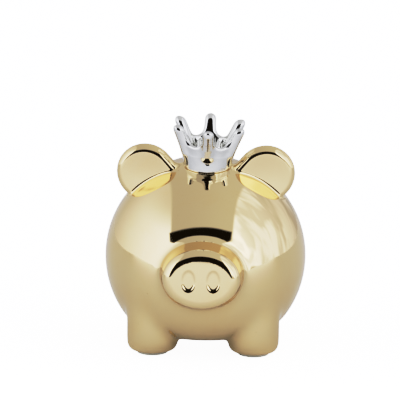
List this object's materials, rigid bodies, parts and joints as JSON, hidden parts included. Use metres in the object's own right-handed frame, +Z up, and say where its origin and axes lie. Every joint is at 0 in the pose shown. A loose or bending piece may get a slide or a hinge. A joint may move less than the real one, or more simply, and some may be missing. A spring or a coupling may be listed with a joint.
{
  "type": "pig money bank",
  "caption": "Round ceramic pig money bank with a mirror gold finish, a silver crown, a coin slot on its back and a push-in belly stopper.",
  "frame": {"origin": "on the floor, under the middle of the bank's bounding box", "axes": "+Z up; the pig looks along -Y and its left side is +X"},
  "size_m": [0.12, 0.1385, 0.1372],
  "materials": {
    "gold_glaze": "mirror gold plating on glazed ceramic",
    "silver_glaze": "mirror silver plating on glazed ceramic",
    "stopper_rubber": "milky soft plastic, satin",
    "pad_rubber": "milky stick-on pad, satin"
  },
  "bodies": {
    "bank": {"body_shell": "gold_glaze", "crown": "silver_glaze", "front_left_foot_pad": "pad_rubber", "front_right_foot_pad": "pad_rubber", "rear_left_foot_pad": "pad_rubber", "rear_right_foot_pad": "pad_rubber"},
    "stopper": {"belly_stopper": "stopper_rubber"}
  },
  "joints": [
    {"name": "stopper_pull", "type": "slide", "parent": "bank", "child": "stopper", "axis": [0, 0, -1], "range_m": [0, 0.02]}
  ]
}
